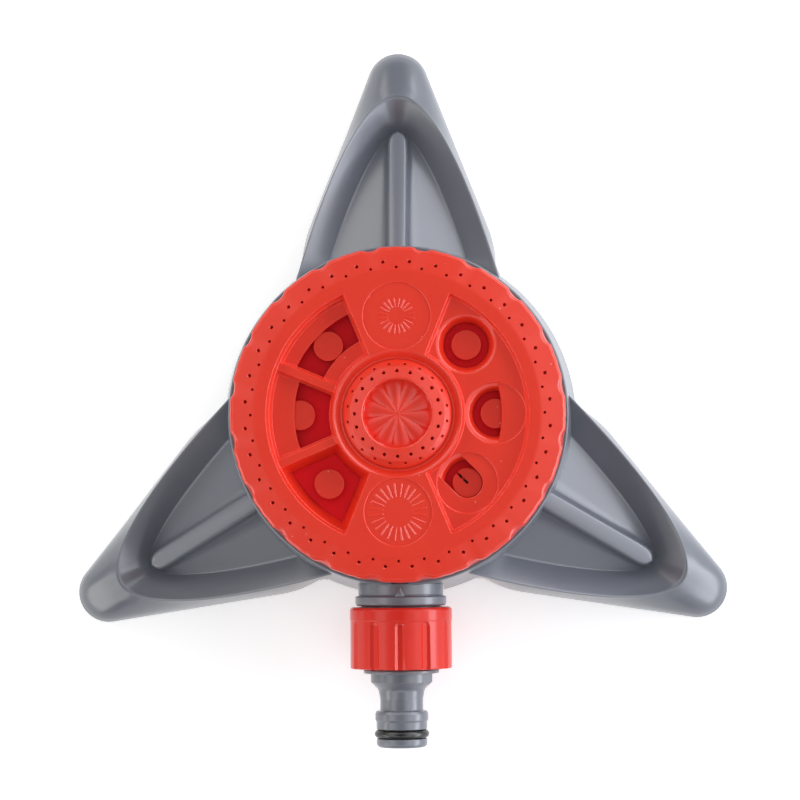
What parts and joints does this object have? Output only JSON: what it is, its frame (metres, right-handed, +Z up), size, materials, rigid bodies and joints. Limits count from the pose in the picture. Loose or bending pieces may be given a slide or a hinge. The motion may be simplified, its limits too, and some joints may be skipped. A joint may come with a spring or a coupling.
{
  "type": "multi-pattern sprinkler",
  "caption": "Lawn sprinkler on three hollow legs with a turning dial of spray patterns over one water port, and a union nut with a hose quick-connector tail.",
  "frame": {"origin": "on the ground, midway between the rear leg's tip and the end of the hose tail, on the middle line", "axes": "+Z up; +Y along the rear leg; the hose tail points to -Y; the dial's axis is vertical at y -8 mm"},
  "size_m": [0.218, 0.2326, 0.0493],
  "materials": {
    "grey_plastic": "moulded grey plastic, satin",
    "red_plastic": "moulded orange-red plastic, satin to gloss",
    "deep_red_plastic": "moulded deep red plastic",
    "black_rubber": "black sealing rubber",
    "zinc_steel": "zinc-plated or spring steel"
  },
  "bodies": {
    "base": {"base_shell": "grey_plastic", "valve_body": "grey_plastic", "valve_body_screw_1": "zinc_steel", "valve_body_screw_2": "zinc_steel", "valve_body_screw_3": "zinc_steel", "valve_body_screw_4": "zinc_steel", "port_seal_spring": "zinc_steel", "detent_spring": "zinc_steel"},
    "dial": {"manifold_plate": "deep_red_plastic", "spray_face": "red_plastic", "centre_cone": "red_plastic", "nozzle_round": "red_plastic", "nozzle_half": "red_plastic", "nozzle_slot": "red_plastic", "nozzle_band": "red_plastic", "nozzle_wide": "red_plastic", "nozzle_open": "red_plastic", "retaining_washer": "zinc_steel", "retaining_screw": "zinc_steel"},
    "port_seal": {"port_seal": "black_rubber"},
    "click_plunger": {"detent_plunger": "deep_red_plastic"},
    "tail": {"hose_tail": "grey_plastic", "swivel_sleeve": "grey_plastic", "tail_o_ring": "black_rubber", "inlet_washer": "black_rubber"},
    "nut": {"union_nut": "red_plastic"}
  },
  "joints": [
    {"name": "dial_turn", "type": "hinge", "parent": "base", "child": "dial", "pos_m": [0, -0.008, 0], "axis": [0, 0, 1], "continuous": true},
    {"name": "seal_lift", "type": "slide", "parent": "base", "child": "port_seal", "axis": [0, 0, -1], "range_m": [0, 0.0008], "stiffness_N_per_m": 900, "springref_m": -0.003, "deforming": ["port_seal_spring"]},
    {"name": "click_travel", "type": "slide", "parent": "base", "child": "click_plunger", "axis": [0, 0, -1], "range_m": [0, 0.0012], "stiffness_N_per_m": 1000, "springref_m": -0.002, "deforming": ["detent_spring"]},
    {"name": "tail_release", "type": "slide", "parent": "base", "child": "tail", "axis": [0, -1, 0], "range_m": [0, 0.0091]},
    {"name": "nut_turn", "type": "hinge", "parent": "tail", "child": "nut", "pos_m": [0, -0.0707, 0.0215], "axis": [0, -1, 0], "range_deg": [0, 1800]}
  ],
  "couplings": [
    {"joint": "tail_release", "follows": "nut_turn", "m_per_rad": 0.00028871}
  ]
}
